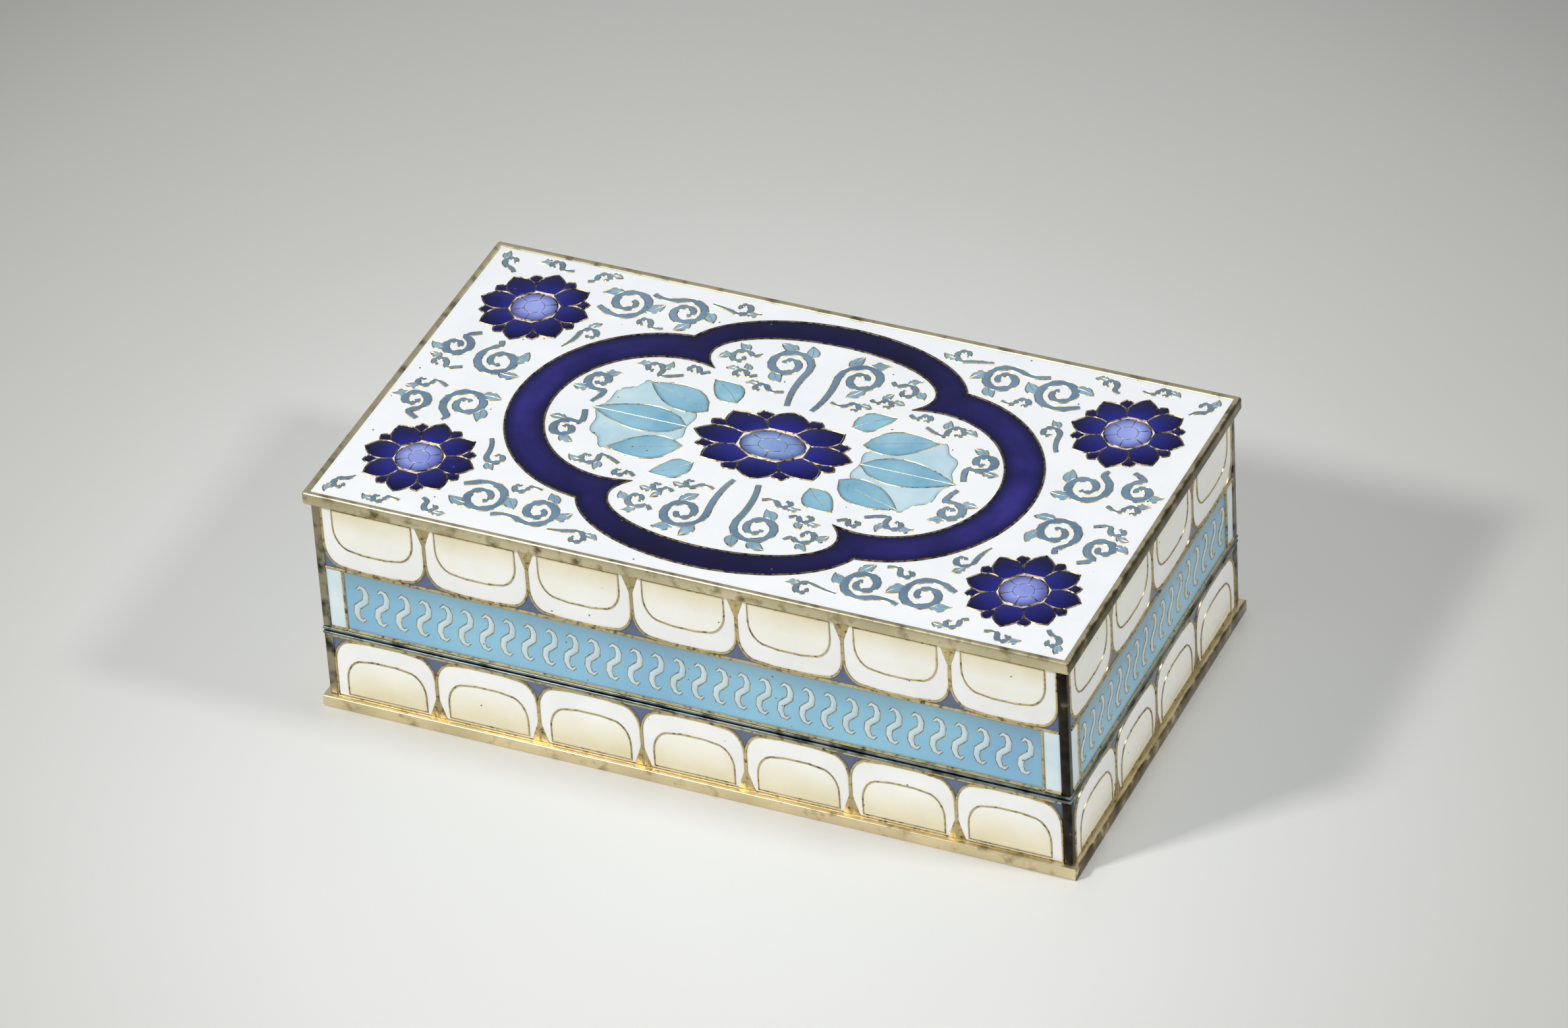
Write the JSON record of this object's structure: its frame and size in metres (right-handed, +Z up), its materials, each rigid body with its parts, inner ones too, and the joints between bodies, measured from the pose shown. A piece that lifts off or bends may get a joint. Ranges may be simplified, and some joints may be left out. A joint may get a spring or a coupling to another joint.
{
  "type": "cloisonne box",
  "caption": "Rectangular cloisonné enamel box on copper with gilt rims, a lift-off cover located by an inner collar, a flowered medallion top and lappet borders.",
  "frame": {"origin": "middle of the underside, in the plane the box stands on", "axes": "+X along the length, +Y to the back, +Z up"},
  "size_m": [0.11, 0.062, 0.036],
  "materials": {
    "gilt": "polished gilding, worn and darkened along the edges",
    "copper": "plain sheet copper",
    "white_enamel": "polished glassy enamel with fine pits",
    "cream_enamel": "polished glassy enamel with fine pits",
    "sky_enamel": "polished glassy enamel with fine pits",
    "cobalt_enamel": "polished glassy enamel with fine pits",
    "periwinkle_enamel": "polished glassy enamel with fine pits",
    "turquoise_enamel": "polished glassy enamel with fine pits"
  },
  "bodies": {
    "base": {"base_floor": "copper", "base_foot_rim": "gilt", "base_seat_rim": "gilt", "base_collar": "gilt", "base_lining": "turquoise_enamel", "base_underside_enamel": "turquoise_enamel", "base_wall_front": "copper", "base_lappet_enamel_front": "cream_enamel", "base_wires_front": "gilt", "base_wall_right": "copper", "base_lappet_enamel_right": "cream_enamel", "base_wires_right": "gilt", "base_wall_back": "copper", "base_lappet_enamel_back": "cream_enamel", "base_wires_back": "gilt", "base_wall_left": "copper", "base_lappet_enamel_left": "cream_enamel", "base_wires_left": "gilt"},
    "cover": {"cover_top_plate": "copper", "cover_top_rim": "gilt", "cover_lower_rim": "gilt", "cover_lining": "turquoise_enamel", "top_ground_enamel": "white_enamel", "medallion_enamel": "cobalt_enamel", "medallion_outer_wire": "gilt", "medallion_inner_wire": "gilt", "centre_flower_enamel": "cobalt_enamel", "centre_flower_heart": "periwinkle_enamel", "centre_flower_wire": "gilt", "leaf_spray_left": "turquoise_enamel", "leaf_spray_right": "turquoise_enamel", "cover_wall_front": "copper", "cover_lappet_enamel_front": "cream_enamel", "cover_band_enamel_front": "sky_enamel", "cover_wires_front": "gilt", "cover_wall_right": "copper", "cover_lappet_enamel_right": "cream_enamel", "cover_band_enamel_right": "sky_enamel", "cover_wires_right": "gilt", "cover_wall_back": "copper", "cover_lappet_enamel_back": "cream_enamel", "cover_band_enamel_back": "sky_enamel", "cover_wires_back": "gilt", "cover_wall_left": "copper", "cover_lappet_enamel_left": "cream_enamel", "cover_band_enamel_left": "sky_enamel", "cover_wires_left": "gilt", "corner_flower_enamel_fl": "cobalt_enamel", "corner_flower_heart_fl": "periwinkle_enamel", "corner_flower_wire_fl": "gilt", "corner_flower_enamel_fr": "cobalt_enamel", "corner_flower_heart_fr": "periwinkle_enamel", "corner_flower_wire_fr": "gilt", "corner_flower_enamel_br": "cobalt_enamel", "corner_flower_heart_br": "periwinkle_enamel", "corner_flower_wire_br": "gilt", "corner_flower_enamel_bl": "cobalt_enamel", "corner_flower_heart_bl": "periwinkle_enamel", "corner_flower_wire_bl": "gilt"}
  },
  "joints": [
    {"name": "cover_lift", "type": "slide", "parent": "base", "child": "cover", "axis": [0, 0, 1], "range_m": [0, 0.06]}
  ]
}
